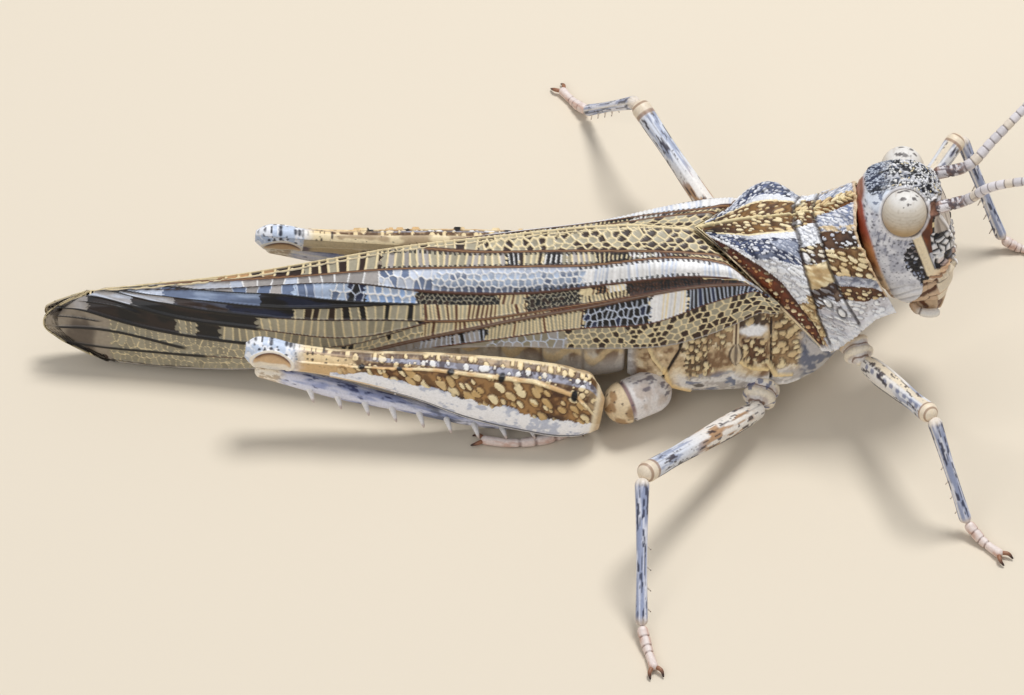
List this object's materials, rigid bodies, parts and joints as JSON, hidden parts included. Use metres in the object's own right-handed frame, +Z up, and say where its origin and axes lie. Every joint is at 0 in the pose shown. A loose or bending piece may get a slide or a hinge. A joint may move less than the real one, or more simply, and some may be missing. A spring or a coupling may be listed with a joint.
{
  "type": "desert grasshopper model",
  "caption": "Life-size still model of a sand-coloured desert grasshopper at rest, wings folded, hind shins tucked under the thighs, feelers forward.",
  "frame": {"origin": "centre of the bounding box at floor level, midway between the outermost feet and between wing tips and feeler tips", "axes": "+X from the wing tips towards the head, +Y to the animal's left, +Z up"},
  "size_m": [0.049, 0.0378, 0.0165],
  "materials": {
    "head": "satin, fine white and black mosaic",
    "eye": "polished",
    "antenna": "matt",
    "mouth": "satin",
    "shield": "satin, raised granules",
    "trunk": "satin",
    "belly": "satin",
    "wing": "satin, raised veins",
    "hip": "satin",
    "hind_leg": "satin",
    "walking_leg": "satin",
    "foot": "satin"
  },
  "bodies": {
    "root": {"head": "head", "eye_left": "eye", "eye_right": "eye", "antenna_left": "antenna", "antenna_right": "antenna", "mouthparts": "mouth", "palp_left": "mouth", "palp_right": "mouth", "pronotum": "shield", "thorax": "trunk", "abdomen": "belly", "tegmen_left": "wing", "tegmen_right": "wing", "fore_coxa_left": "hip", "fore_femur_left": "walking_leg", "fore_tibia_left": "walking_leg", "fore_tarsus_left": "foot", "fore_coxa_right": "hip", "fore_femur_right": "walking_leg", "fore_tibia_right": "walking_leg", "fore_tarsus_right": "foot", "mid_coxa_left": "hip", "mid_femur_left": "walking_leg", "mid_tibia_left": "walking_leg", "mid_tarsus_left": "foot", "mid_coxa_right": "hip", "mid_femur_right": "walking_leg", "mid_tibia_right": "walking_leg", "mid_tarsus_right": "foot", "hind_coxa_left": "hip", "hind_femur_left": "hind_leg", "hind_tibia_left": "hind_leg", "hind_tarsus_left": "foot", "hind_coxa_right": "hip", "hind_femur_right": "hind_leg", "hind_tibia_right": "hind_leg", "hind_tarsus_right": "foot"}
  },
  "joints": []
}
